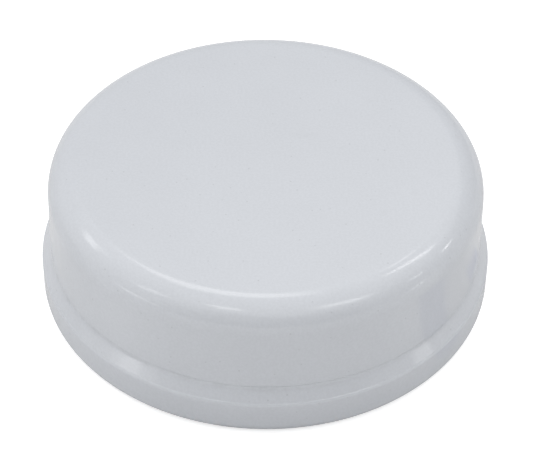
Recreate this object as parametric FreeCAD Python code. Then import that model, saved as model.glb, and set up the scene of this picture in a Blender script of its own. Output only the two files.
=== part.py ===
"""Dealer button: a three inch white moulded puck that marks the dealer's seat at a card table.

A cap and a base of gloss plastic meet in a lap joint. The seam is hidden at the foot of the cap's
wall, just above the hollow round where the base's sloping shoulder begins. Inside lie two stamped
steel ballast discs, with a foam disc that the cap's ribs press on them. Three self-tapping screws
come up through the base into the cap's bosses, and a felt disc in the base's underside covers their
heads.

Row frame, in millimetres: +Z up, the origin on the table under the centre of the felt. Every level
is built up from the table, and every radius inwards from the rim.
"""

import FreeCAD
import Part
import math
import os

# ---- Outside ----
OVERALL_DIAMETER = 76.2
OVERALL_HEIGHT = 25.4
RIM_HEIGHT = 6.55  # from the base's underside to the rim's upper edge
RIM_UPPER_ROUND = 0.65
RIM_LOWER_ROUND = 2.0
SHOULDER_RISE = 2.4  # the slope and the lip together, from the rim's upper edge to the wall's foot
SHOULDER_RUN = 1.55
WALL_FOOT_ROUND = 1.0  # hollow round where the slope runs up into the wall
SEAM_RISE = 0.4  # the base's own share of the wall, from the wall's foot to the seam
RIM_LIP_RUN = 0.29  # narrow, flatter lip along the rim's upper edge
RIM_LIP_DROP = 0.21
RIM_LIP_ROUND = 0.1
WALL_DRAFT_DEG = 1.0  # the cap's wall leans in towards the top
TOP_EDGE_ROUND = 5.0
SEAM_EDGE_ROUND = 0.06  # breaks both edges of the seam

# ---- Cap moulding ----
CAP_TOP_THICKNESS = 3.0
SPIGOT_THICKNESS = 1.2  # the lip of the cap that goes down inside the base
SPIGOT_FLOOR_GAP = 0.4
SPIGOT_LEAD_IN = 0.4
CAP_INNER_ROUND = 2.2
RIB_THICKNESS = 1.4
HUB_RIB_RADIUS = 9.0  # outside of the round rib at the centre of the ceiling

# ---- Base moulding ----
COLLAR_LAND = 1.5  # flat top of the collar that the cap's wall stands on
LAP_CLEARANCE = 0.1  # radial, spigot in collar
FLOOR_THICKNESS = 2.4
FLOOR_CORNER_ROUND = 0.6
FOOT_RING_WIDTH = 2.4  # flat ring left round the felt's recess
FENCE_THICKNESS = 1.2  # upright ring that holds the ballast in place
FENCE_GAP = 0.5  # from the fence to the cap's spigot

# ---- Screw joints, spaced evenly round the axis ----
SCREW_COUNT = 3
BOSS_DIAMETER = 7.0
BOSS_TIP_CHAMFER = 0.3
SOCKET_CLEARANCE = 0.15  # radial, boss in its socket
SOCKET_WALL = 1.15
SOCKET_DEPTH = 0.8
SEAT_GAP = 0.15  # under the boss, so that the screws pull the seam shut first
UNDER_HEAD_THICKNESS = 2.0
HEAD_SINK = 0.3  # from the felt's recess up to the screw's head
HEAD_POCKET_CLEARANCE = 0.5
PILOT_DIAMETER = 2.4
PILOT_SPARE_DEPTH = 1.0
FIRST_SCREW_DEG = 90.0

# ---- Self-tapping pan head screw, 2.9 x 9.5 ----
SCREW_LENGTH = 9.5
SCREW_MAJOR_DIAMETER = 2.9
SCREW_MINOR_DIAMETER = 2.1
SCREW_PITCH = 1.1
SCREW_TIP_LENGTH = 2.0
SCREW_TIP_DIAMETER = 0.8
CORE_TIP_DIAMETER = 0.5
SCREW_HOLE_CLEARANCE = 0.2  # radial, shank through the base
THREAD_ROOT_DEPTH = 0.1  # how far the thread runs down into the core
THREAD_ROOT_WIDTH = 0.75
THREAD_CREST_WIDTH = 0.12
HEAD_DIAMETER = 5.6
HEAD_HEIGHT = 2.2
HEAD_EDGE_ROUND = 1.3
RECESS_SPAN = 3.0  # the cross in the head, end to end
RECESS_SLOT = 0.75
RECESS_DEPTH = 1.4
RECESS_FLOOR_SPAN = 1.3

# ---- Ballast, foam and felt ----
BALLAST_COUNT = 2
BALLAST_THICKNESS = 2.0
BALLAST_EDGE_BREAK = 0.2
BALLAST_CLEARANCE = 0.3  # radial, in the fence and round the posts
BALLAST_WEB = 2.6  # steel left outside each hole
FOAM_THICKNESS = 3.0  # as pressed between the ballast and the ribs
FOAM_HOLE_CLEARANCE = 0.4
FELT_THICKNESS = 1.3
FELT_PROUD = 0.3  # how far the felt stands below the base
FELT_CLEARANCE = 0.25
FELT_EDGE_ROUND = 0.3

# ---- Levels, from the table up ----
base_bottom = FELT_PROUD
recess_ceiling = FELT_THICKNESS
floor_top = recess_ceiling + FLOOR_THICKNESS
rim_top = base_bottom + RIM_HEIGHT
wall_foot = rim_top + SHOULDER_RISE
seam = wall_foot + SEAM_RISE
head_seat = recess_ceiling + HEAD_SINK + HEAD_HEIGHT
socket_floor = head_seat + UNDER_HEAD_THICKNESS
post_top = socket_floor + SOCKET_DEPTH
boss_foot = socket_floor + SEAT_GAP
screw_tip = head_seat + SCREW_LENGTH
pilot_end = screw_tip + PILOT_SPARE_DEPTH
ballast_top = floor_top + BALLAST_COUNT * BALLAST_THICKNESS
foam_top = ballast_top + FOAM_THICKNESS
ceiling = OVERALL_HEIGHT - CAP_TOP_THICKNESS

# ---- Radii, from the rim inwards ----
rim_radius = OVERALL_DIAMETER / 2
wall_foot_radius = rim_radius - SHOULDER_RUN
wall_slant = math.tan(math.radians(WALL_DRAFT_DEG))
seam_radius = wall_foot_radius - SEAM_RISE * wall_slant
wall_top_radius = wall_foot_radius - (OVERALL_HEIGHT - wall_foot) * wall_slant
collar_bore_radius = wall_foot_radius - COLLAR_LAND
spigot_radius = collar_bore_radius - LAP_CLEARANCE
cap_inner_radius = spigot_radius - SPIGOT_THICKNESS
fence_radius = cap_inner_radius - FENCE_GAP
fence_inner_radius = fence_radius - FENCE_THICKNESS
ballast_radius = fence_inner_radius - BALLAST_CLEARANCE
recess_radius = rim_radius - RIM_LOWER_ROUND - FOOT_RING_WIDTH
felt_radius = recess_radius - FELT_CLEARANCE
boss_radius = BOSS_DIAMETER / 2
socket_radius = boss_radius + SOCKET_CLEARANCE
post_radius = socket_radius + SOCKET_WALL
ballast_hole_radius = post_radius + BALLAST_CLEARANCE
screw_circle_radius = ballast_radius - BALLAST_WEB - ballast_hole_radius

Z_AXIS = FreeCAD.Vector(0, 0, 1)
ORIGIN = FreeCAD.Vector(0, 0, 0)


def turned(corners):
    """Solid of revolution about +Z. Each corner is (radius, height) or (radius, height, round)."""
    points = [FreeCAD.Vector(c[0], 0, c[1]) for c in corners]
    rounds = [c[2] if len(c) > 2 else 0.0 for c in corners]
    entries, edges = [], []
    for i, corner in enumerate(points):
        towards_last = (points[i - 1] - corner).normalize()
        towards_next = (points[(i + 1) % len(points)] - corner).normalize()
        half_angle = towards_last.getAngle(towards_next) / 2
        setback = rounds[i] / math.tan(half_angle)
        start = corner + towards_last * setback
        end = corner + towards_next * setback
        entries.append((start, end))
        if rounds[i] > 0:
            bisector = (towards_last + towards_next).normalize()
            depth = rounds[i] / math.sin(half_angle) - rounds[i]
            edges.append(Part.Arc(start, corner + bisector * depth, end).toShape())
        else:
            edges.append(None)
    loop = []
    for i, round_edge in enumerate(edges):
        if round_edge is not None:
            loop.append(round_edge)
        leave, arrive = entries[i][1], entries[(i + 1) % len(entries)][0]
        loop.append(Part.makeLine(leave, arrive))
    face = Part.Face(Part.Wire(Part.__sortEdges__(loop)))
    return face.revolve(ORIGIN, Z_AXIS, 360)


def upright_cylinder(radius, bottom, top, x=0.0, y=0.0):
    return Part.makeCylinder(radius, top - bottom, FreeCAD.Vector(x, y, bottom), Z_AXIS)


def screw_places():
    """Centre and bearing of each screw joint."""
    for i in range(SCREW_COUNT):
        bearing = FIRST_SCREW_DEG + i * 360.0 / SCREW_COUNT
        angle = math.radians(bearing)
        yield screw_circle_radius * math.cos(angle), screw_circle_radius * math.sin(angle), bearing


def radial_rib(inner, outer, bottom, top, bearing):
    """Upright plate along a radius, centred on its bearing."""
    plate = Part.makeBox(outer - inner, RIB_THICKNESS, top - bottom,
                         FreeCAD.Vector(inner, -RIB_THICKNESS / 2, bottom))
    plate.rotate(ORIGIN, Z_AXIS, bearing)
    return plate


def cap_skin():
    """Top, drafted wall and spigot in one turned shell, before its ribs and bosses."""
    spigot_foot = floor_top + SPIGOT_FLOOR_GAP
    outside = [
        (0, OVERALL_HEIGHT),
        (wall_top_radius, OVERALL_HEIGHT, TOP_EDGE_ROUND),
        (seam_radius, seam, SEAM_EDGE_ROUND),
        (spigot_radius, seam),
        (spigot_radius, spigot_foot + SPIGOT_LEAD_IN),
        (spigot_radius - SPIGOT_LEAD_IN, spigot_foot),
    ]
    inside = [
        (cap_inner_radius, spigot_foot),
        (cap_inner_radius, ceiling, CAP_INNER_ROUND),
        (0, ceiling),
    ]
    return turned(outside + inside)


def cap_ribs():
    """Round hub rib, a spoke to each boss and on to the wall, and a spoke between each two."""
    root = CAP_TOP_THICKNESS / 2  # how far every rib runs up into the ceiling
    wall_root = cap_inner_radius + SPIGOT_THICKNESS / 2
    hub_inner = HUB_RIB_RADIUS - RIB_THICKNESS
    ribs = [upright_cylinder(HUB_RIB_RADIUS, foam_top, ceiling + root).cut(
        upright_cylinder(hub_inner, foam_top, ceiling + root))]
    spoke_start = HUB_RIB_RADIUS - RIB_THICKNESS / 2
    for i in range(2 * SCREW_COUNT):
        bearing = FIRST_SCREW_DEG + i * 180.0 / SCREW_COUNT
        ribs.append(radial_rib(spoke_start, wall_root, foam_top, ceiling + root, bearing))
    return ribs


def cap_shell():
    root = CAP_TOP_THICKNESS / 2
    body = cap_skin().multiFuse(cap_ribs())
    for x, y, _ in screw_places():
        boss = turned([(0, boss_foot), (boss_radius - BOSS_TIP_CHAMFER, boss_foot),
                       (boss_radius, boss_foot + BOSS_TIP_CHAMFER),
                       (boss_radius, ceiling + root), (0, ceiling + root)])
        boss.translate(FreeCAD.Vector(x, y, 0))
        body = body.fuse(boss)
    for x, y, _ in screw_places():
        body = body.cut(upright_cylinder(PILOT_DIAMETER / 2, boss_foot, pilot_end, x, y))
    return body.removeSplitter()


def base_skin():
    """Floor, rim, sloping shoulder and collar in one turned dish, with the felt's recess below."""
    return turned([
        (0, recess_ceiling),
        (recess_radius, recess_ceiling),
        (recess_radius, base_bottom),
        (rim_radius, base_bottom, RIM_LOWER_ROUND),
        (rim_radius, rim_top, RIM_UPPER_ROUND),
        (rim_radius - RIM_LIP_RUN, rim_top + RIM_LIP_DROP, RIM_LIP_ROUND),
        (wall_foot_radius, wall_foot, WALL_FOOT_ROUND),
        (seam_radius, seam, SEAM_EDGE_ROUND),
        (collar_bore_radius, seam),
        (collar_bore_radius, floor_top, FLOOR_CORNER_ROUND),
        (0, floor_top),
    ])


def ballast_fence():
    """Upright ring on the floor, as high as the ballast."""
    return turned([(fence_inner_radius, floor_top - FLOOR_THICKNESS / 2),
                   (fence_radius, floor_top - FLOOR_THICKNESS / 2),
                   (fence_radius, ballast_top, FENCE_THICKNESS / 4),
                   (fence_inner_radius, ballast_top, FENCE_THICKNESS / 4)])


def base_shell():
    body = base_skin().fuse(ballast_fence())
    for x, y, _ in screw_places():
        body = body.fuse(upright_cylinder(post_radius, recess_ceiling, post_top, x, y))
    pocket_radius = HEAD_DIAMETER / 2 + HEAD_POCKET_CLEARANCE
    hole_radius = SCREW_MAJOR_DIAMETER / 2 + SCREW_HOLE_CLEARANCE
    for x, y, _ in screw_places():
        body = body.cut(upright_cylinder(socket_radius, socket_floor, post_top, x, y))
        body = body.cut(upright_cylinder(hole_radius, head_seat, socket_floor, x, y))
        body = body.cut(upright_cylinder(pocket_radius, recess_ceiling, head_seat, x, y))
    return body.removeSplitter()


def pierced_disc(radius, bottom, top, hole_radius, edge_break):
    """Flat disc with a hole round each screw joint and both its rims broken."""
    disc = turned([(0, bottom), (radius - edge_break, bottom), (radius, bottom + edge_break),
                   (radius, top - edge_break), (radius - edge_break, top), (0, top)])
    for x, y, _ in screw_places():
        disc = disc.cut(upright_cylinder(hole_radius, bottom, top, x, y))
    return disc


def ballast_disc(index):
    bottom = floor_top + index * BALLAST_THICKNESS
    return pierced_disc(ballast_radius, bottom, bottom + BALLAST_THICKNESS,
                        ballast_hole_radius, BALLAST_EDGE_BREAK)


def foam_disc():
    return pierced_disc(ballast_radius, ballast_top, foam_top,
                        boss_radius + FOAM_HOLE_CLEARANCE, BALLAST_EDGE_BREAK)


def felt_pad():
    return turned([(0, 0), (felt_radius, 0, FELT_EDGE_ROUND), (felt_radius, FELT_THICKNESS),
                   (0, FELT_THICKNESS)])


def cross_recess():
    """Cross-shaped pocket whose arms draw in towards its floor. Its mouth lies at z = 0."""
    arms = []
    for turn in (0, 90):
        mouth, floor = RECESS_SPAN / 2, RECESS_FLOOR_SPAN / 2
        outline = Part.makePolygon([FreeCAD.Vector(-mouth, 0, 0), FreeCAD.Vector(mouth, 0, 0),
                                    FreeCAD.Vector(floor, 0, RECESS_DEPTH),
                                    FreeCAD.Vector(-floor, 0, RECESS_DEPTH),
                                    FreeCAD.Vector(-mouth, 0, 0)])
        arm = Part.Face(outline).extrude(FreeCAD.Vector(0, RECESS_SLOT, 0))
        arm.translate(FreeCAD.Vector(0, -RECESS_SLOT / 2, 0))
        arm.rotate(ORIGIN, Z_AXIS, turn)
        arms.append(arm)
    return arms[0].fuse(arms[1])


def screw_thread():
    """Helical ridge for a screw whose shank starts at z = 0, trimmed to the shank and its tip."""
    root_radius = SCREW_MINOR_DIAMETER / 2 - THREAD_ROOT_DEPTH
    crest_radius = SCREW_MAJOR_DIAMETER / 2
    turns_height = SCREW_LENGTH + SCREW_PITCH
    helix = Part.makeLongHelix(SCREW_PITCH, turns_height, root_radius)
    ridge = Part.makePolygon([
        FreeCAD.Vector(root_radius, 0, -THREAD_ROOT_WIDTH / 2),
        FreeCAD.Vector(crest_radius, 0, -THREAD_CREST_WIDTH / 2),
        FreeCAD.Vector(crest_radius, 0, THREAD_CREST_WIDTH / 2),
        FreeCAD.Vector(root_radius, 0, THREAD_ROOT_WIDTH / 2),
        FreeCAD.Vector(root_radius, 0, -THREAD_ROOT_WIDTH / 2),
    ])
    sweep = Part.BRepOffsetAPI.MakePipeShell(helix)
    sweep.setFrenetMode(True)
    sweep.add(ridge)
    sweep.build()
    sweep.makeSolid()
    envelope = turned([(0, THREAD_ROOT_WIDTH), (crest_radius, THREAD_ROOT_WIDTH),
                       (crest_radius, SCREW_LENGTH - SCREW_TIP_LENGTH),
                       (SCREW_TIP_DIAMETER / 2, SCREW_LENGTH), (0, SCREW_LENGTH)])
    return sweep.shape().common(envelope)


def pan_head_screw():
    """Self-tapping screw with its head's seat at z = 0 and its tip at +Z."""
    head_radius = HEAD_DIAMETER / 2
    head = turned([(0, 0), (head_radius, 0), (head_radius, -HEAD_HEIGHT, HEAD_EDGE_ROUND),
                   (0, -HEAD_HEIGHT)])
    recess = cross_recess()
    recess.translate(FreeCAD.Vector(0, 0, -HEAD_HEIGHT))
    core_radius = SCREW_MINOR_DIAMETER / 2
    core_root = (RECESS_DEPTH - HEAD_HEIGHT) / 2  # half-way from the recess floor to the seat
    core = turned([(0, core_root), (core_radius, core_root),
                   (core_radius, SCREW_LENGTH - SCREW_TIP_LENGTH),
                   (CORE_TIP_DIAMETER / 2, SCREW_LENGTH), (0, SCREW_LENGTH)])
    return head.cut(recess).fuse(core).fuse(screw_thread()).removeSplitter()


def base_screws():
    """The three identical screws, as one group of separate solids."""
    pattern = pan_head_screw()
    placed = []
    for x, y, bearing in screw_places():
        screw = pattern.copy()
        screw.rotate(ORIGIN, Z_AXIS, bearing)
        screw.translate(FreeCAD.Vector(x, y, head_seat))
        placed.append(screw)
    return Part.makeCompound(placed)


def main():
    os.makedirs("parts", exist_ok=True)
    nodes = {"cap_shell": cap_shell(), "base_shell": base_shell()}
    for index in range(BALLAST_COUNT):
        nodes["ballast_disc_%d" % (index + 1)] = ballast_disc(index)
    nodes["foam_disc"] = foam_disc()
    nodes["base_screws"] = base_screws()
    nodes["felt_pad"] = felt_pad()
    for name, shape in nodes.items():
        shape.exportStep("parts/%s.step" % name)
        print("%-16s solids %d  valid %s  volume %.1f mm3"
              % (name, len(shape.Solids), shape.isValid(), shape.Volume))


main()
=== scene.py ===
"""Looks of a plain white dealer button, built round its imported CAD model.

The cap and the base are turned mouldings with their ribs, bosses and posts joined on. The felt and the
foam are soft pieces of their own. The steel ballast and the screws keep their CAD shapes and get
worked metal finishes. Names that end in _mm are in millimetres, and all others are in metres.
"""

import math

import bpy
import numpy as np
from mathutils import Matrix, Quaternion, Vector


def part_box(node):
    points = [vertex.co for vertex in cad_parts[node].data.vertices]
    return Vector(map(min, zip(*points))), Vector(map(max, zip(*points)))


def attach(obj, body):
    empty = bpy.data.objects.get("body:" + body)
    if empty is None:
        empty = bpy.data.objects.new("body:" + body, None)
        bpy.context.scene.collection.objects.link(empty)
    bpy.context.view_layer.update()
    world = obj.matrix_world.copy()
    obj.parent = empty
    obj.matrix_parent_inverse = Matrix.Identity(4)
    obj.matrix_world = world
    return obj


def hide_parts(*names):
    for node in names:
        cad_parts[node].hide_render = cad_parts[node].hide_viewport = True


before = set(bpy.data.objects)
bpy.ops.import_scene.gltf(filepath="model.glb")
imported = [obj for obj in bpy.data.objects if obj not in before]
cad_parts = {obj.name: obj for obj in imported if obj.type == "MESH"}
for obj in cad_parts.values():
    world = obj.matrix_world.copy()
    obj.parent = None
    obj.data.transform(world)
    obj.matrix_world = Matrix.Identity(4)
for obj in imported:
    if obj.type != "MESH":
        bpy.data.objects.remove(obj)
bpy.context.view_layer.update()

MM = 0.001

# ---- Levels and radii that the frame gives ----
cap_low, cap_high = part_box("cap_shell")
base_low, base_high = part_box("base_shell")
_, felt_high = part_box("felt_pad")
_, foam_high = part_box("foam_disc")
ballast_low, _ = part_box("ballast_disc_1")
_, ballast_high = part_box("ballast_disc_2")
screws_low, screws_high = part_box("base_screws")
top_mm = cap_high.z / MM
seam_mm = base_high.z / MM
rim_radius_mm = base_high.x / MM
base_bottom_mm = base_low.z / MM
recess_ceiling_mm = felt_high.z / MM
floor_top_mm = ballast_low.z / MM
ballast_top_mm = ballast_high.z / MM
foam_top_mm = foam_high.z / MM
spigot_foot_mm = cap_low.z / MM
ballast_radius_mm = foam_high.x / MM
felt_radius_mm = felt_high.x / MM

# ---- Shape of the mouldings ----
SHOULDER_RUN_MM = 1.55
SHOULDER_RISE_MM = 2.4
WALL_FOOT_ROUND_MM = 1.0
SEAM_RISE_MM = 0.4
RIM_LIP_RUN_MM = 0.29
RIM_LIP_DROP_MM = 0.21
RIM_LIP_ROUND_MM = 0.1
WALL_DRAFT_DEG = 1.0
TOP_EDGE_ROUND_MM = 5.0
RIM_UPPER_ROUND_MM = 0.65
RIM_LOWER_ROUND_MM = 2.0
SEAM_EDGE_ROUND_MM = 0.06
CAP_TOP_THICKNESS_MM = 3.0
CAP_INNER_ROUND_MM = 2.2
COLLAR_LAND_MM = 1.5
LAP_CLEARANCE_MM = 0.1
SPIGOT_THICKNESS_MM = 1.2
SPIGOT_LEAD_IN_MM = 0.4
FLOOR_CORNER_ROUND_MM = 0.6
FOOT_RING_WIDTH_MM = 2.4
FENCE_GAP_MM = 0.5
FENCE_THICKNESS_MM = 1.2
RIB_THICKNESS_MM = 1.4
HUB_RIB_RADIUS_MM = 9.0

# ---- Screw joints ----
SCREW_COUNT = 3
FIRST_SCREW_DEG = 90.0
SCREW_HEAD_DIAMETER_MM = 5.6
HEAD_HEIGHT_MM = 2.2
BOSS_DIAMETER_MM = 7.0
SOCKET_CLEARANCE_MM = 0.15
SOCKET_WALL_MM = 1.15
SOCKET_DEPTH_MM = 0.8
SEAT_GAP_MM = 0.15
UNDER_HEAD_THICKNESS_MM = 2.0
HEAD_POCKET_CLEARANCE_MM = 0.5
PILOT_DIAMETER_MM = 2.4
PILOT_SPARE_DEPTH_MM = 1.0
SHANK_HOLE_DIAMETER_MM = 3.3

wall_foot_radius_mm = rim_radius_mm - SHOULDER_RUN_MM
wall_foot_mm = seam_mm - SEAM_RISE_MM
rim_top_mm = wall_foot_mm - SHOULDER_RISE_MM
wall_slant = math.tan(math.radians(WALL_DRAFT_DEG))
seam_radius_mm = wall_foot_radius_mm - SEAM_RISE_MM * wall_slant
wall_lean_mm = (top_mm - wall_foot_mm) * wall_slant
wall_top_radius_mm = wall_foot_radius_mm - wall_lean_mm
collar_bore_radius_mm = wall_foot_radius_mm - COLLAR_LAND_MM
spigot_radius_mm = collar_bore_radius_mm - LAP_CLEARANCE_MM
cap_inner_radius_mm = spigot_radius_mm - SPIGOT_THICKNESS_MM
ceiling_mm = top_mm - CAP_TOP_THICKNESS_MM
recess_radius_mm = rim_radius_mm - RIM_LOWER_ROUND_MM - FOOT_RING_WIDTH_MM
fence_radius_mm = cap_inner_radius_mm - FENCE_GAP_MM
fence_inner_radius_mm = fence_radius_mm - FENCE_THICKNESS_MM
boss_radius_mm = BOSS_DIAMETER_MM / 2
socket_radius_mm = boss_radius_mm + SOCKET_CLEARANCE_MM
post_radius_mm = socket_radius_mm + SOCKET_WALL_MM
screw_circle_radius_mm = screws_high.y / MM - SCREW_HEAD_DIAMETER_MM / 2
head_seat_mm = screws_low.z / MM + HEAD_HEIGHT_MM
socket_floor_mm = head_seat_mm + UNDER_HEAD_THICKNESS_MM
post_top_mm = socket_floor_mm + SOCKET_DEPTH_MM
boss_foot_mm = socket_floor_mm + SEAT_GAP_MM
pilot_end_mm = screws_high.z / MM + PILOT_SPARE_DEPTH_MM

# ---- Foam and felt ----
FOAM_EDGE_ROUND_MM = 0.5
FOAM_HOLE_CLEARANCE_MM = 0.4
FOAM_DIP_MM = 0.12
FELT_EDGE_ROUND_MM = 0.3
FELT_DIP_MM = 0.08
FIBRE_SEED = 7
FIBRE_COUNT = 1400
FIBRE_KNOTS = 5
FIBRE_LENGTH_MM = 2.6
FIBRE_SHORTEST = 0.4  # as a share of the full length
FIBRE_TURN = 5.0  # in radians; a fibre turns by up to half of this either way
FIBRE_RADIUS_MM = 0.012

# ---- Finishes ----
PLASTIC_COLOUR = (0.592, 0.612, 0.649, 1.0)
CAP_ROUGHNESS = 0.135
BASE_ROUGHNESS = 0.11
# Painted shade along the seam crease, with patchy dirt: where it centres above the wall's foot, and how far
# it reaches.
SEAM_SHADE_AND_DIRT_RISE_MM = 0.05
SEAM_SHADE_AND_DIRT_REACH_MM = 0.9
PEEL_DEPTH_MM = 0.003
TOOL_MARK_SHARE = 4.0
NOISE_RANGE = (0.3, 0.7)  # nearly all of a noise's values lie in it
# Factors on the plastic's colour: the range of an effect, or the tone at its strongest.
CLOUD_TONE = (0.992, 1.008)
GRAIN_TONE = (-0.018, 0.018)
DUST_TONE = 0.85
SCUFF_TONE = 0.985
SEAM_SHADE_AND_DIRT_SHARE = (0.025, 0.12)
FOAM_COLOUR = (0.17, 0.17, 0.18, 1.0)
FELT_COLOUR = (0.10, 0.27, 0.17, 1.0)

# ---- Mesh fineness ----
SEGMENTS = 360
FENCE_SEGMENTS = 180
HUB_SEGMENTS = 120
FOAM_HOLE_SEGMENTS = 64
SMALL_DISC_SEGMENTS = 48
CUTTER_SPARE_MM = 1.0  # how far a cutting shape passes the surface that it opens
ROUND_STEP_DEG = 4.0
RUN_STEP_MM = 1.6
RUN_END_MM = 0.25  # an extra ring this far from each round keeps the flats flat
SMOOTH_ANGLE_DEG = 32.0


# ==== Shapes ====

def run_points(start, end):
    """Points on the straight run between start and end: one close to each end, the rest evenly spaced."""
    length = np.linalg.norm(end - start)
    if length < 3 * RUN_END_MM:
        return np.empty((0, 2))
    steps = max(2, math.ceil((length - 2 * RUN_END_MM) / RUN_STEP_MM) + 1)
    share = np.linspace(RUN_END_MM, length - RUN_END_MM, steps) / length
    return start + share[:, None] * (end - start)


def outline(corners):
    """Outline through (radius, height[, round]) corners, as an array of (radius, height).

    At a rounded corner the arc touches both runs: its centre lies on the bisector, at round over the
    sine of the half angle, and its points turn evenly from one touching point to the other."""
    points = [np.array(c[:2], float) for c in corners]
    rounds = [c[2] if len(c) > 2 else 0.0 for c in corners]
    rounds[0] = rounds[-1] = 0.0
    pieces, leave = [points[:1]], points[0]
    for i in range(1, len(points)):
        corner, size = points[i], rounds[i]
        back = (points[i - 1] - corner) / np.linalg.norm(points[i - 1] - corner)
        if size == 0.0:
            pieces += [run_points(leave, corner), [corner]]
            leave = corner
            continue
        ahead = (points[i + 1] - corner) / np.linalg.norm(points[i + 1] - corner)
        half = math.acos(np.clip(back @ ahead, -1, 1)) / 2
        centre = corner + (back + ahead) / np.linalg.norm(back + ahead) * size / math.sin(half)
        start = corner + back * size / math.tan(half)
        end = corner + ahead * size / math.tan(half)
        first = math.atan2(*(start - centre)[::-1])
        turn = (math.atan2(*(end - centre)[::-1]) - first + math.pi) % (2 * math.pi) - math.pi
        count = max(3, math.ceil(abs(math.degrees(turn)) / ROUND_STEP_DEG) + 1)
        angles = first + turn * np.linspace(0, 1, count)
        arc = centre + size * np.stack([np.cos(angles), np.sin(angles)], 1)
        pieces += [run_points(leave, start), arc]
        leave = end
    return np.concatenate([p for p in pieces if len(p)])


def new_object(name, vertices_mm, faces):
    """Mesh object at the origin from an array of points in millimetres and a list of faces."""
    mesh = bpy.data.meshes.new(name)
    mesh.from_pydata((np.asarray(vertices_mm) * MM).tolist(), [], faces)
    mesh.validate()
    piece = bpy.data.objects.new(name, mesh)
    bpy.context.scene.collection.objects.link(piece)
    return piece


def turned(name, profile, segments=SEGMENTS, shift=None, centre=(0.0, 0.0)):
    """Closed surface of revolution about +Z.

    The profile starts and ends on the axis. Ring j has radius r_j and height z_j, and its point i lies
    at angle 2 pi i / segments, so a point is (r cos a, r sin a, z). The two ends are single points.
    shift(angle, radius, height) may give each point's inward move along its ring's normal."""
    inner = profile[1:-1]
    angle = np.arange(segments) * 2 * np.pi / segments
    radius = np.broadcast_to(inner[:, :1], (len(inner), segments)).copy()
    height = np.broadcast_to(inner[:, 1:], (len(inner), segments)).copy()
    if shift is not None:
        along = np.gradient(inner, axis=0)
        normal = np.stack([-along[:, 1], along[:, 0]], 1)
        normal /= np.maximum(np.linalg.norm(normal, axis=1, keepdims=True), 1e-9)
        move = shift(angle[None, :], radius, height)
        radius += move * normal[:, :1]
        height += move * normal[:, 1:]
    grid = np.stack([centre[0] + radius * np.cos(angle), centre[1] + radius * np.sin(angle), height], 2)
    poles = [(*centre, profile[0, 1]), (*centre, profile[-1, 1])]
    vertices = np.concatenate([grid.reshape(-1, 3), poles])
    ring = np.arange(segments)
    ahead = (ring + 1) % segments
    rows = np.arange(len(inner) - 1)[:, None] * segments
    quads = np.stack([rows + ring, rows + ahead, rows + segments + ahead, rows + segments + ring], 2)
    last = (len(inner) - 1) * segments
    first_pole, last_pole = len(inner) * segments, len(inner) * segments + 1
    start_fan = np.stack([np.full(segments, first_pole), ahead, ring], 1)
    end_fan = np.stack([np.full(segments, last_pole), last + ring, last + ahead], 1)
    faces = quads.reshape(-1, 4).tolist() + start_fan.tolist() + end_fan.tolist()
    piece = new_object(name, vertices, faces)
    point_outwards(piece.data)
    return piece


def point_outwards(mesh):
    """Turns the faces round if the signed volume that they enclose is negative."""
    mesh.calc_loop_triangles()
    corners = np.empty(len(mesh.loop_triangles) * 3, np.int32)
    mesh.loop_triangles.foreach_get("vertices", corners)
    points = np.empty(len(mesh.vertices) * 3)
    mesh.vertices.foreach_get("co", points)
    a, b, c = points.reshape(-1, 3)[corners.reshape(-1, 3)].transpose(1, 0, 2)
    if np.einsum("ij,ij->", a, np.cross(b, c)) < 0:
        mesh.flip_normals()


def disc_prism(name, radius, bottom, top, centre=(0.0, 0.0), segments=SMALL_DISC_SEGMENTS):
    """Upright round prism, turned about its own centre."""
    profile = np.array([(0, bottom), (radius, bottom), (radius, top), (0, top)], float)
    return turned(name, profile, segments, centre=centre)


def upright_plate(name, inner, outer, thickness, bottom, top, bearing_deg):
    """Box along a radius: its length lies on the bearing and its thickness is halved by it."""
    bearing = math.radians(bearing_deg)
    along = np.array([math.cos(bearing), math.sin(bearing)])
    across = np.array([-along[1], along[0]])
    vertices = [(*(along * r + across * t), z)
                for z in (bottom, top) for r, t in ((inner, -thickness / 2), (outer, -thickness / 2),
                                                    (outer, thickness / 2), (inner, thickness / 2))]
    faces = [(3, 2, 1, 0), (4, 5, 6, 7), (0, 1, 5, 4), (1, 2, 6, 5), (2, 3, 7, 6), (3, 0, 4, 7)]
    return new_object(name, vertices, faces)


def combine(piece, tools, operation):
    """Joins the tools to the piece, or cuts them from it, and removes them."""
    for tool in tools:
        step = piece.modifiers.new("join", "BOOLEAN")
        step.operation = operation
        step.solver = "MANIFOLD"
        step.object = tool
        evaluated = piece.evaluated_get(bpy.context.evaluated_depsgraph_get())
        result = bpy.data.meshes.new_from_object(evaluated)
        piece.modifiers.clear()
        old = piece.data
        piece.data = result
        bpy.data.meshes.remove(old)
        bpy.data.objects.remove(tool)
    piece.data.name = piece.name


def smooth(piece):
    """Smooth shading everywhere but at edges sharper than the smooth angle."""
    piece.data.shade_smooth()
    piece.data.set_sharp_from_angle(angle=math.radians(SMOOTH_ANGLE_DEG))


def screw_places():
    """Centre and bearing of each screw joint."""
    for i in range(SCREW_COUNT):
        bearing = FIRST_SCREW_DEG + i * 360.0 / SCREW_COUNT
        angle = math.radians(bearing)
        yield (screw_circle_radius_mm * math.cos(angle), screw_circle_radius_mm * math.sin(angle)), bearing


# ==== Pieces ====

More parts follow.
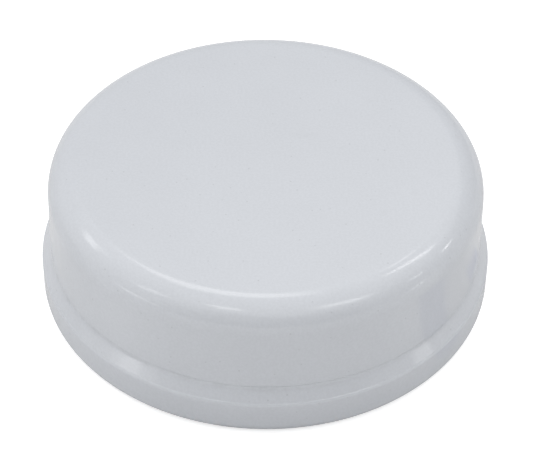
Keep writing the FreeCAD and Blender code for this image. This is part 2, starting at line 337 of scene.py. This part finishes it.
def make_cap():
    """Cap: flat top, large round, drafted wall, seam edge, spigot, and the ribs and bosses inside."""
    profile = outline([
        (0, top_mm),
        (wall_top_radius_mm, top_mm, TOP_EDGE_ROUND_MM),
        (seam_radius_mm, seam_mm, SEAM_EDGE_ROUND_MM),
        (spigot_radius_mm, seam_mm),
        (spigot_radius_mm, spigot_foot_mm + SPIGOT_LEAD_IN_MM),
        (spigot_radius_mm - SPIGOT_LEAD_IN_MM, spigot_foot_mm),
        (cap_inner_radius_mm, spigot_foot_mm),
        (cap_inner_radius_mm, ceiling_mm, CAP_INNER_ROUND_MM),
        (0, ceiling_mm),
    ])
    cap = turned("cap", profile)
    root = ceiling_mm + CAP_TOP_THICKNESS_MM / 2
    wall_root = cap_inner_radius_mm + SPIGOT_THICKNESS_MM / 2
    hub_inner = HUB_RIB_RADIUS_MM - RIB_THICKNESS_MM
    hub = disc_prism("hub", HUB_RIB_RADIUS_MM, foam_top_mm, root, segments=HUB_SEGMENTS)
    hollow = disc_prism("hub_hollow", hub_inner, foam_top_mm - CUTTER_SPARE_MM, root + CUTTER_SPARE_MM,
                        segments=HUB_SEGMENTS)
    combine(hub, [hollow], "DIFFERENCE")
    spokes = [upright_plate("spoke", hub_inner + RIB_THICKNESS_MM / 2, wall_root, RIB_THICKNESS_MM,
                            foam_top_mm, root, FIRST_SCREW_DEG + i * 180.0 / SCREW_COUNT)
              for i in range(2 * SCREW_COUNT)]
    bosses = [disc_prism("boss", boss_radius_mm, boss_foot_mm, root, centre)
              for centre, _ in screw_places()]
    pilot_radius, pilot_foot_mm = PILOT_DIAMETER_MM / 2, boss_foot_mm - CUTTER_SPARE_MM
    pilots = [disc_prism("pilot", pilot_radius, pilot_foot_mm, pilot_end_mm, centre)
              for centre, _ in screw_places()]
    combine(cap, [hub] + spokes + bosses, "UNION")
    combine(cap, pilots, "DIFFERENCE")
    smooth(cap)
    return cap


def make_base():
    """Base: foot ring round the felt's recess, rim, sloping shoulder, collar, floor, fence and posts."""
    profile = outline([
        (0, recess_ceiling_mm),
        (recess_radius_mm, recess_ceiling_mm),
        (recess_radius_mm, base_bottom_mm),
        (rim_radius_mm, base_bottom_mm, RIM_LOWER_ROUND_MM),
        (rim_radius_mm, rim_top_mm, RIM_UPPER_ROUND_MM),
        (rim_radius_mm - RIM_LIP_RUN_MM, rim_top_mm + RIM_LIP_DROP_MM, RIM_LIP_ROUND_MM),
        (wall_foot_radius_mm, wall_foot_mm, WALL_FOOT_ROUND_MM),
        (seam_radius_mm, seam_mm, SEAM_EDGE_ROUND_MM),
        (collar_bore_radius_mm, seam_mm),
        (collar_bore_radius_mm, floor_top_mm, FLOOR_CORNER_ROUND_MM),
        (0, floor_top_mm),
    ])
    base = turned("base", profile)
    buried = (floor_top_mm + recess_ceiling_mm) / 2
    fence = disc_prism("fence", fence_radius_mm, buried, ballast_top_mm, segments=FENCE_SEGMENTS)
    hollow = disc_prism("fence_hollow", fence_inner_radius_mm, buried - CUTTER_SPARE_MM,
                        ballast_top_mm + CUTTER_SPARE_MM, segments=FENCE_SEGMENTS)
    combine(fence, [hollow], "DIFFERENCE")
    posts = [disc_prism("post", post_radius_mm, buried, post_top_mm, centre)
             for centre, _ in screw_places()]
    combine(base, [fence] + posts, "UNION")
    # What is cut from each post, from above to below: name, radius, bottom, top.
    cuts = [
        ("socket", socket_radius_mm, socket_floor_mm, post_top_mm + CUTTER_SPARE_MM),
        ("shank", SHANK_HOLE_DIAMETER_MM / 2, buried, socket_floor_mm + CUTTER_SPARE_MM),
        ("pocket", SCREW_HEAD_DIAMETER_MM / 2 + HEAD_POCKET_CLEARANCE_MM,
         recess_ceiling_mm - CUTTER_SPARE_MM, head_seat_mm),
    ]
    for centre, _ in screw_places():
        combine(base, [disc_prism(*cut, centre) for cut in cuts], "DIFFERENCE")
    smooth(base)
    return base


def disc_with_holes(name, radius, bottom, top, edge_round, hole_radius, shift):
    """Round slab with rounded edges and a round hole for each boss; shift moves its skin inwards."""
    profile = outline([(0, bottom), (radius, bottom, edge_round), (radius, top, edge_round), (0, top)])
    slab = turned(name, profile, shift=shift)
    holes = [disc_prism("hole", hole_radius, bottom - CUTTER_SPARE_MM, top + CUTTER_SPARE_MM, centre,
                        FOAM_HOLE_SEGMENTS) for centre, _ in screw_places()]
    combine(slab, holes, "DIFFERENCE")
    smooth(slab)
    return slab


def make_foam():
    """Foam disc. Its skin dips by FOAM_DIP_MM times half of one plus the mean of three sine waves."""
    def dips(angle, radius, height):
        x, y = radius * np.cos(angle), radius * np.sin(angle)
        waves = np.sin(1.9 * x + 0.7 * y) + np.sin(1.3 * y - 1.1 * x + 2) + np.sin(2.6 * y + 0.4 * x + 4)
        return FOAM_DIP_MM * (0.5 + waves / 6)
    return disc_with_holes("foam", ballast_radius_mm, ballast_top_mm, foam_top_mm, FOAM_EDGE_ROUND_MM,
                           boss_radius_mm + FOAM_HOLE_CLEARANCE_MM, dips)


def make_felt():
    """Felt disc. The face that it lies on dips by FELT_DIP_MM times half of one plus the mean of four
    crossed sine waves, and this fades out upwards over the height of the edge's round."""
    def dips(angle, radius, height):
        x, y = radius * np.cos(angle), radius * np.sin(angle)
        waves = (np.sin(2.3 * x + 1.7 * y) + np.sin(3.1 * y - 1.4 * x + 1) + np.sin(2.7 * x - 3.7 * y + 3)
                 + np.sin(4.4 * x + 0.6 * y + 5))
        below = np.clip((FELT_EDGE_ROUND_MM - height) / FELT_EDGE_ROUND_MM, 0, 1)
        return FELT_DIP_MM * below * (0.5 + waves / 8)
    profile = outline([(0, 0), (felt_radius_mm, 0, FELT_EDGE_ROUND_MM), (felt_radius_mm, recess_ceiling_mm),
                       (0, recess_ceiling_mm)])
    felt = turned("felt", profile, shift=dips)
    smooth(felt)
    return felt


def make_nap():
    """Loose fibres on the felt's face, as three-sided strands.

    A strand starts at a random place and heading. Its heading turns evenly along its length, and its
    height above the table follows half a sine wave, so that both of its ends sink into the felt."""
    dice = np.random.default_rng(FIBRE_SEED)
    knots = np.linspace(0, 1, FIBRE_KNOTS)
    reach = np.sqrt(dice.random(FIBRE_COUNT)) * (felt_radius_mm - FIBRE_LENGTH_MM)
    bearing = dice.random(FIBRE_COUNT) * 2 * np.pi
    length = FIBRE_LENGTH_MM * (FIBRE_SHORTEST + (1 - FIBRE_SHORTEST) * dice.random(FIBRE_COUNT))
    heading = (dice.random((FIBRE_COUNT, 1)) * 2 * np.pi
               + (dice.random((FIBRE_COUNT, 1)) - 0.5) * FIBRE_TURN * knots)
    step = length[:, None] / (FIBRE_KNOTS - 1)
    x = (reach * np.cos(bearing))[:, None] + np.cumsum(step * np.cos(heading), 1)
    y = (reach * np.sin(bearing))[:, None] + np.cumsum(step * np.sin(heading), 1)
    z = FELT_DIP_MM + 2 * FIBRE_RADIUS_MM - FELT_DIP_MM * np.sin(np.pi * knots) * np.ones_like(x)
    middle = np.stack([x, y, z], 2)
    side = np.stack([-np.sin(heading), np.cos(heading), np.zeros_like(x)], 2)
    corner = np.array([0, 2, 4]) * np.pi / 3 + np.pi / 2
    ring = (middle[:, :, None] + FIBRE_RADIUS_MM * np.cos(corner)[:, None] * side[:, :, None]
            + FIBRE_RADIUS_MM * np.sin(corner)[:, None] * np.array([0, 0, 1]))
    base = (np.arange(FIBRE_COUNT)[:, None] * FIBRE_KNOTS + np.arange(FIBRE_KNOTS - 1))[..., None] * 3
    here, ahead = np.arange(3), (np.arange(3) + 1) % 3
    quads = np.stack([base + here, base + ahead, base + 3 + ahead, base + 3 + here], 3).reshape(-1, 4)
    start = np.arange(FIBRE_COUNT)[:, None] * FIBRE_KNOTS * 3 + np.array([2, 1, 0])
    end = np.arange(FIBRE_COUNT)[:, None] * FIBRE_KNOTS * 3 + (FIBRE_KNOTS - 1) * 3 + np.array([0, 1, 2])
    nap = new_object("felt_nap", ring.reshape(-1, 3), quads.tolist() + start.tolist() + end.tolist())
    point_outwards(nap.data)
    nap.data.shade_smooth()
    return nap


# ==== Finishes ====

def node_adder(tree):
    """Function that adds a node to the tree. Settings are its attributes. An input is a value or the output
    of another node, and _0, _1 and so on name an input by its place."""
    def add(kind, settings=None, **inputs):
        node = tree.nodes.new("ShaderNode" + kind)
        for key, value in (settings or {}).items():
            setattr(node, key, value)
        for key, value in inputs.items():
            socket = node.inputs[int(key[1:]) if key[1:].isdigit() else key.replace("_", " ")]
            if isinstance(value, bpy.types.NodeSocket):
                tree.links.new(value, socket)
            else:
                socket.default_value = value
        return node
    return add


def sums(add):
    """Short form for Math nodes: calc("ADD", a, b) gives the result's socket."""
    def calc(operation, *values):
        return add("Math", {"operation": operation},
                   **{f"_{i}": value for i, value in enumerate(values)}).outputs[0]
    return calc


def spread(add, value, low, high, to_low, to_high):
    """Smooth step of the value from low..high to to_low..to_high."""
    return add("MapRange", {"interpolation_type": "SMOOTHSTEP"}, Value=value, From_Min=low, From_Max=high,
               To_Min=to_low, To_Max=to_high).outputs["Result"]


def new_material(name):
    """Empty node material, its function that adds nodes, and its object coordinates."""
    material = bpy.data.materials.new(name)
    material.use_nodes = True
    material.node_tree.nodes.clear()
    add = node_adder(material.node_tree)
    return material, add, add("TexCoord").outputs["Object"]


def white_plastic(name, roughness):
    """Gloss white moulding: clouding, grain, dust specks, faint scuffs, painted shade with dirt along the
    seam, and tool marks.

    Every effect but the last scales the colour by a noise, and the painted seam shade and dirt fade away
    from the seam. The marks are level lines in the shoulder's bump."""
    material, add, place = new_material(name)
    calc = sums(add)
    height = add("SeparateXYZ", Vector=place).outputs["Z"]
    cloud = add("TexNoise", Vector=place, Scale=70.0, Detail=4.0, Roughness=0.6).outputs["Fac"]
    grain = add("TexNoise", Vector=place, Scale=2400.0, Detail=1.0).outputs["Fac"]
    tone = calc("ADD", spread(add, cloud, *NOISE_RANGE, *CLOUD_TONE),
                spread(add, grain, *NOISE_RANGE, *GRAIN_TONE))
    dust = add("TexVoronoi", Vector=place, Scale=480.0).outputs["Distance"]
    tone = calc("MULTIPLY", tone, spread(add, dust, 0.02, 0.10, DUST_TONE, 1.0))
    scuff = add("TexNoise", Vector=place, Scale=260.0, Detail=3.0).outputs["Fac"]
    tone = calc("MULTIPLY", tone, spread(add, scuff, 0.64, 0.76, 1.0, SCUFF_TONE))
    # Painted shade in the seam crease, with patchy dirt: the colour darkens close to the seam.
    patchy = add("TexNoise", Vector=place, Scale=170.0, Detail=4.0, Roughness=0.75).outputs["Fac"]
    from_seam = calc("ABSOLUTE", calc("SUBTRACT", height, (wall_foot_mm + SEAM_SHADE_AND_DIRT_RISE_MM) * MM))
    seam_shade_and_dirt = calc("MULTIPLY", spread(add, from_seam, 0.0, SEAM_SHADE_AND_DIRT_REACH_MM * MM, 1.0, 0.0),
                spread(add, patchy, 0.4, 0.75, *SEAM_SHADE_AND_DIRT_SHARE))
    tone = calc("MULTIPLY", tone, calc("SUBTRACT", 1.0, seam_shade_and_dirt))
    colour = add("HueSaturation", Color=PLASTIC_COLOUR, Value=tone).outputs["Color"]
    rough = spread(add, cloud, *NOISE_RANGE, roughness - 0.015, roughness + 0.02)
    peel = add("TexNoise", Vector=place, Scale=330.0, Detail=0.0).outputs["Fac"]
    upright = add("CombineXYZ", Z=height).outputs[0]
    lines = add("TexNoise", Vector=upright, Scale=4500.0, Detail=1.0).outputs["Fac"]
    on_shoulder = calc("MULTIPLY", calc("GREATER_THAN", height, rim_top_mm * MM),
                       calc("LESS_THAN", height, wall_foot_mm * MM))
    marks = calc("MULTIPLY", calc("MULTIPLY", lines, on_shoulder), TOOL_MARK_SHARE)
    bump = add("Bump", Strength=1.0, Distance=PEEL_DEPTH_MM * MM, Height=calc("ADD", peel, marks))
    shader = add("BsdfPrincipled", Base_Color=colour, Roughness=rough, IOR=1.52,
                 Normal=bump.outputs["Normal"])
    add("OutputMaterial", Surface=shader.outputs["BSDF"])
    return material


def plated_steel(name, colour, roughness, rolling, bump_mm):
    """Zinc plating: rolling lines along X, drawn out by the rolling factor, clouded by crystal size."""
    material, add, place = new_material(name)
    calc = sums(add)
    drawn = add("Mapping", Vector=place, Scale=(1.0 / rolling, 1.0, 1.0)).outputs[0]
    lines = add("TexNoise", Vector=drawn, Scale=2200.0, Detail=4.0, Roughness=0.6).outputs["Fac"]
    crystals = add("TexVoronoi", Vector=place, Scale=620.0).outputs["Color"]
    shade = add("SeparateXYZ", Vector=crystals).outputs["X"]
    cloud = add("TexNoise", Vector=place, Scale=90.0, Detail=4.0).outputs["Fac"]
    tone = calc("ADD", spread(add, cloud, *NOISE_RANGE, 0.86, 1.04),
                spread(add, shade, 0.0, 1.0, -0.05, 0.05))
    base = add("HueSaturation", Color=(*colour, 1.0), Value=tone).outputs["Color"]
    rough = calc("ADD", spread(add, lines, 0.25, 0.75, roughness - 0.06, roughness + 0.08),
                 spread(add, shade, 0.0, 1.0, -0.04, 0.04))
    bump = add("Bump", Strength=1.0, Distance=bump_mm * MM, Height=lines).outputs["Normal"]
    shader = add("BsdfPrincipled", Base_Color=base, Metallic=1.0, Roughness=rough, Normal=bump)
    add("OutputMaterial", Surface=shader.outputs["BSDF"])
    return material


def grey_foam(name):
    """Cut closed-cell foam: rounded cells about 0.4 mm across, with painted shade towards their walls,
    where the bump sinks.
    """
    material, add, place = new_material(name)
    cells = add("TexVoronoi", Vector=place, Scale=2300.0).outputs["Distance"]
    cloud = add("TexNoise", Vector=place, Scale=260.0, Detail=4.0).outputs["Fac"]
    # Painted shade: darker towards the cell walls, which the inverted bump sinks.
    tone = sums(add)("MULTIPLY", spread(add, cells, 0.1, 0.9, 1.25, 0.6),
                     spread(add, cloud, *NOISE_RANGE, 0.85, 1.1))
    base = add("HueSaturation", Color=FOAM_COLOUR, Value=tone).outputs["Color"]
    bump = add("Bump", {"invert": True}, Strength=1.0, Distance=0.12 * MM, Height=cells).outputs["Normal"]
    shader = add("BsdfPrincipled", Base_Color=base, Roughness=0.85, Normal=bump)
    add("OutputMaterial", Surface=shader.outputs["BSDF"])
    return material


def green_felt(name, fibre_highlight_and_shade):
    """Pressed wool: crossing fibres from two noises, with painted highlight where the bump raises them and
    painted shade where it sinks, and a soft sheen.
    """
    material, add, place = new_material(name)
    fibres = add("TexNoise", Vector=place, Scale=1700.0, Detail=6.0, Roughness=0.7,
                 Distortion=2.5).outputs["Fac"]
    tufts = add("TexNoise", Vector=place, Scale=320.0, Detail=3.0).outputs["Fac"]
    calc = sums(add)
    # Painted highlight and shade: the fibres' tone follows the same noise as their bump.
    tone = calc("MULTIPLY", spread(add, fibres, *NOISE_RANGE, 1 - fibre_highlight_and_shade, 1 + fibre_highlight_and_shade),
                spread(add, tufts, *NOISE_RANGE, 0.9, 1.1))
    base = add("HueSaturation", Color=FELT_COLOUR, Value=tone).outputs["Color"]
    bump = add("Bump", Strength=1.0, Distance=0.1 * MM, Height=fibres).outputs["Normal"]
    shader = add("BsdfPrincipled", Base_Color=base, Roughness=0.95, Sheen_Weight=0.35, Sheen_Roughness=0.5,
                 Normal=bump)
    add("OutputMaterial", Surface=shader.outputs["BSDF"])
    return material


# ==== Stage, light and camera ====

CAMERA_DISTANCE = 0.36195
CAMERA_ELEVATION_DEG = 42.05
CAMERA_ROLL_DEG = 0.594
CAMERA_LENS_MM = 144.08
CAMERA_AIM_MM = (0.185, -1.672, 10.85)

FLOOR_COLOUR = (0.77, 0.77, 0.77, 1.0)
FLOOR_RADIUS = 3.0
FLOOR_SEGMENTS = 96
FLOOR_LIFT = 0.6  # glow where the table is looked at
# Painted reflection: the button's gloss sees a painted glow on the table in front, painted shade at the
# sides and behind, and a painted shadow close by.
FLOOR_FRONT_PAINTED_GLOW = 0.32
FLOOR_SIDE_PAINTED_SHADE = 0.34
FLOOR_BEHIND_PAINTED_SHADE = 0.13
FLOOR_NEAR_PAINTED_SHADOW = 0.4
# Where these begin and end: a distance from the axis, and places along Y.
FLOOR_CLEAR = (0.03956, 0.0473)
FLOOR_FRONT = (0.04, -0.03)
FLOOR_NEAR = (-0.030, -0.040)
FLOOR_SIDE = (-0.035, -0.015)
FLOOR_BEHIND = (-0.008, 0.006)

ROOM_CEILING = 1.09
ROOM_SIDES = 0.87
ROOM_BACK = 0.42
ROOM_FRONT = 0.29
ROOM_LEFT_LIFT = 0.20
# Where the room's parts begin and end, as the height or the Y of a direction one unit long.
CEILING_EDGE = (0.60, 0.69)
CEILING_SLANT = 0.3
CEILING_SLANT_REACH = 0.12
FRONT_EDGE = (-0.45, -0.85)
BACK_EDGE = (0.2, 0.9)

# Ceiling lamps, as places on a ceiling one unit above the table: (x, y), (width, depth), turn in degrees,
# radiance.
CEILING_HEIGHT = 1.0
CEILING_LAMPS = {
    "rear_middle": ((-0.085, 0.56), (0.33, 0.42), 8.0, 2.2),
    "rear_left": ((-1.12, 0.43), (0.56, 0.22), 10.0, 2.8),
    "rear_right": ((0.60, 0.39), (0.40, 0.13), 12.0, 4.4),
    "rear_far_right": ((2.14, 0.46), (0.52, 0.13), 3.0, 9.5),
    "rear_line": ((0.25, 0.72), (0.05, 0.04), 0.0, 16.0),
    "front_left": ((-1.06, -0.53), (0.46, 0.20), 0.0, 2.2),
    "front_middle": ((-0.27, -0.56), (0.20, 0.24), 0.0, 2.6),
    "front_right": ((0.62, -0.55), (0.48, 0.22), 0.0, 2.8),
    "front_far_right": ((2.06, -0.40), (0.40, 0.22), 15.0, 4.3),
}
# Low panels, as (first, last bearing) in degrees, distance, (foot, head) height, radiance.
PANELS = {
    "panel_right": ((-22.8, -12.9), 0.35, (0.008, 0.028), 2.7),
    "panel_left": ((-161.5, -138.5), 1.0, (0.05, 0.15), 1.0),
    "panel_left_middle": ((-156.5, -146.0), 0.98, (0.06, 0.14), 1.4),
}
# Painted shadow on the table, seen only in the button's gloss: grey sheets, given by their corners.
SHADOW_SHEET_CORNERS_MM = {
    "shadow_sheet_right": ((32.3, -24.6), (49.0, -28.2), (52.0, -15.2), (36.8, -17.2)),
    "shadow_sheet_far_right": ((39.6, -4.5), (45.0, -4.0), (44.5, 4.5), (40.0, 4.0)),
}
SHADOW_SHEET_HEIGHT_MM = 0.3
SHADOW_SHEET_COLOUR = (0.62, 0.63, 0.71, 1.0)


def area_lamp(name, width, depth, radiance):
    """Flat lamp that shines down its own -Z. Radiance L and area A give pi times L times A watts."""
    data = bpy.data.lights.new(name, "AREA")
    data.shape = "RECTANGLE"
    data.size = width
    data.size_y = depth
    data.energy = radiance * math.pi * width * depth
    lamp = bpy.data.objects.new(name, data)
    lamp.visible_camera = False
    bpy.context.scene.collection.objects.link(lamp)
    return lamp


def make_lamps():
    """Ceiling lamps face down, and panels face the button."""
    for name, ((x, y), (width, depth), turn, radiance) in CEILING_LAMPS.items():
        lamp = area_lamp(name, width * CEILING_HEIGHT, depth * CEILING_HEIGHT, radiance)
        lamp.location = (x * CEILING_HEIGHT, y * CEILING_HEIGHT, CEILING_HEIGHT)
        lamp.rotation_euler = (0, 0, math.radians(turn))
    for name, ((first, last), distance, (foot, head), radiance) in PANELS.items():
        bearing = math.radians((first + last) / 2)
        width = 2 * distance * math.tan(math.radians(last - first) / 2)
        lamp = area_lamp(name, width, head - foot, radiance)
        lamp.location = (distance * math.cos(bearing), distance * math.sin(bearing), (foot + head) / 2)
        lamp.rotation_euler = (math.pi / 2, 0, bearing + math.pi / 2)


def make_reflected_shadow_sheets():
    """Painted shadow: small grey sheets on the table at the right that only the button's gloss shows, as a
    darker patch of table in its reflection.
    """
    material, add, _ = new_material("reflected_shadow_sheet")
    add("OutputMaterial", Surface=add("BsdfDiffuse", Color=SHADOW_SHEET_COLOUR).outputs[0])
    for name, corners in SHADOW_SHEET_CORNERS_MM.items():
        shadow_sheet = new_object(name, [(x, y, SHADOW_SHEET_HEIGHT_MM) for x, y in corners], [(0, 1, 2, 3)])
        shadow_sheet.data.materials.append(material)
        shadow_sheet.visible_camera = False
        shadow_sheet.visible_diffuse = False
        shadow_sheet.visible_shadow = False


def make_world():
    """Soft room: bright ceiling above, paler sides, dim at the back and darkest at the front."""
    world = bpy.data.worlds.new("studio")
    bpy.context.scene.world = world
    world.use_nodes = True
    world.node_tree.nodes.clear()
    add = node_adder(world.node_tree)
    calc = sums(add)
    axis = add("SeparateXYZ", Vector=add("TexCoord").outputs["Generated"])
    x, y, z = axis.outputs
    sideways = calc("MINIMUM", calc("MAXIMUM", x, -CEILING_SLANT_REACH), CEILING_SLANT_REACH)
    slanted = calc("ADD", z, calc("MULTIPLY", sideways, CEILING_SLANT))
    ceiling = spread(add, slanted, *CEILING_EDGE, 0.0, 1.0)
    front = spread(add, y, *FRONT_EDGE, 0.0, 1.0)
    back = spread(add, y, *BACK_EDGE, 0.0, 1.0)
    side = calc("SUBTRACT", calc("SUBTRACT", ROOM_SIDES, calc("MULTIPLY", back, ROOM_SIDES - ROOM_BACK)),
                calc("MULTIPLY", front, ROOM_SIDES - ROOM_FRONT))
    side = calc("SUBTRACT", side, calc("MULTIPLY", x, ROOM_LEFT_LIFT))
    level = calc("ADD", side, calc("MULTIPLY", ceiling, calc("SUBTRACT", ROOM_CEILING, side)))
    room = add("Background", Color=(1.0, 1.0, 1.0, 1.0), Strength=level)
    white = add("Background", Color=(1.0, 1.0, 1.0, 1.0), Strength=1.0)
    seen = add("LightPath").outputs["Is Camera Ray"]
    mix = add("MixShader", Fac=seen, _1=room.outputs[0], _2=white.outputs[0])
    add("OutputWorld", Surface=mix.outputs[0])


def make_floor():
    """Plain pale table top: a large round plate on z = 0, lifted to white where it is looked at.

    A gloss that mirrors it sees a painted glow in front, painted shade at the sides and behind, and a
    painted shadow close by."""
    angle = np.arange(FLOOR_SEGMENTS) * 2 * np.pi / FLOOR_SEGMENTS
    rim = FLOOR_RADIUS / MM * np.stack([np.cos(angle), np.sin(angle), np.zeros(FLOOR_SEGMENTS)], 1)
    floor = new_object("table", rim, [tuple(range(FLOOR_SEGMENTS))])
    material, add, place = new_material("pale_table")
    calc = sums(add)
    across, away, _ = add("SeparateXYZ", Vector=place).outputs
    radius = calc("SQRT", calc("ADD", calc("MULTIPLY", across, across), calc("MULTIPLY", away, away)))
    clear = spread(add, radius, *FLOOR_CLEAR, 0.0, 1.0)
    # Painted glow in front, and painted shade and shadow elsewhere, which only glossy rays see.
    front = calc("MULTIPLY", spread(add, away, *FLOOR_FRONT, 0.0, FLOOR_FRONT_PAINTED_GLOW), clear)
    near_painted_shadow = calc("MULTIPLY", spread(add, away, *FLOOR_NEAR, 0.0, FLOOR_NEAR_PAINTED_SHADOW),
                 calc("SUBTRACT", 1.0, clear))
    side = calc("MULTIPLY", calc("MULTIPLY", spread(add, away, *FLOOR_SIDE, 0.0, 1.0), clear),
                spread(add, away, *FLOOR_BEHIND, FLOOR_SIDE_PAINTED_SHADE, FLOOR_BEHIND_PAINTED_SHADE))
    path = add("LightPath").outputs
    shade = calc("SUBTRACT", 1.0, calc("MULTIPLY", path["Is Glossy Ray"], calc("ADD", side, near_painted_shadow)))
    colour = add("Mix", {"data_type": "RGBA", "blend_type": "MULTIPLY"}, Factor=1.0, A=FLOOR_COLOUR,
                 B=shade).outputs["Result"]
    diffuse = add("BsdfDiffuse", Color=colour)
    # The camera's lift is the plain white table; the glossy rays' lift is the painted glow in front.
    lift = calc("ADD", calc("MULTIPLY", path["Is Camera Ray"], FLOOR_LIFT),
                calc("MULTIPLY", path["Is Glossy Ray"], front))
    glow = add("Emission", Color=(1.0, 1.0, 1.0, 1.0), Strength=lift)
    both = add("AddShader", _0=diffuse.outputs[0], _1=glow.outputs[0])
    add("OutputMaterial", Surface=both.outputs[0])
    floor.data.materials.append(material)


def make_camera():
    """Camera on the button's front side, aimed a little below its middle and rolled slightly."""
    data = bpy.data.cameras.new("camera")
    data.sensor_width = 36.0
    data.lens = CAMERA_LENS_MM
    data.clip_start = 0.01
    camera = bpy.data.objects.new("camera", data)
    elevation = math.radians(CAMERA_ELEVATION_DEG)
    middle = Vector((0, 0, top_mm * MM / 2))
    camera.location = middle + CAMERA_DISTANCE * Vector((0, -math.cos(elevation), math.sin(elevation)))
    look = Vector(CAMERA_AIM_MM) * MM - camera.location
    camera.rotation_mode = "QUATERNION"
    roll = Quaternion((0, 0, 1), math.radians(CAMERA_ROLL_DEG))
    camera.rotation_quaternion = look.to_track_quat("-Z", "Y") @ roll
    bpy.context.scene.collection.objects.link(camera)
    bpy.context.scene.camera = camera


def coat(piece, material):
    """The piece rides on the one body and takes the slot's material on every face."""
    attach(piece, "root")
    piece.data.materials.clear()
    piece.data.materials.append(material)


def main():
    cap, base = make_cap(), make_base()
    coat(cap, white_plastic("cap_plastic", CAP_ROUGHNESS))
    coat(base, white_plastic("base_plastic", BASE_ROUGHNESS))
    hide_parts("cap_shell")
    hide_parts("base_shell")

    foam = make_foam()
    coat(foam, grey_foam("grey_foam"))
    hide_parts("foam_disc")

    felt, nap = make_felt(), make_nap()
    coat(felt, green_felt("green_felt", fibre_highlight_and_shade=0.3))
    coat(nap, green_felt("felt_fibre", fibre_highlight_and_shade=0.1))
    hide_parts("felt_pad")

    zinc = plated_steel("zinc_plated_steel", (0.66, 0.67, 0.69), roughness=0.30, rolling=30.0,
                        bump_mm=0.004)
    bright = plated_steel("screw_steel", (0.60, 0.60, 0.61), roughness=0.24, rolling=1.0, bump_mm=0.002)
    for node, material in (("ballast_disc_1", zinc), ("ballast_disc_2", zinc), ("base_screws", bright)):
        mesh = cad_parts[node].data
        mesh.materials.clear()
        mesh.materials.append(material)

    make_floor()
    make_reflected_shadow_sheets()
    make_world()
    make_lamps()
    make_camera()
    bpy.context.scene.view_settings.view_transform = "Standard"


main()
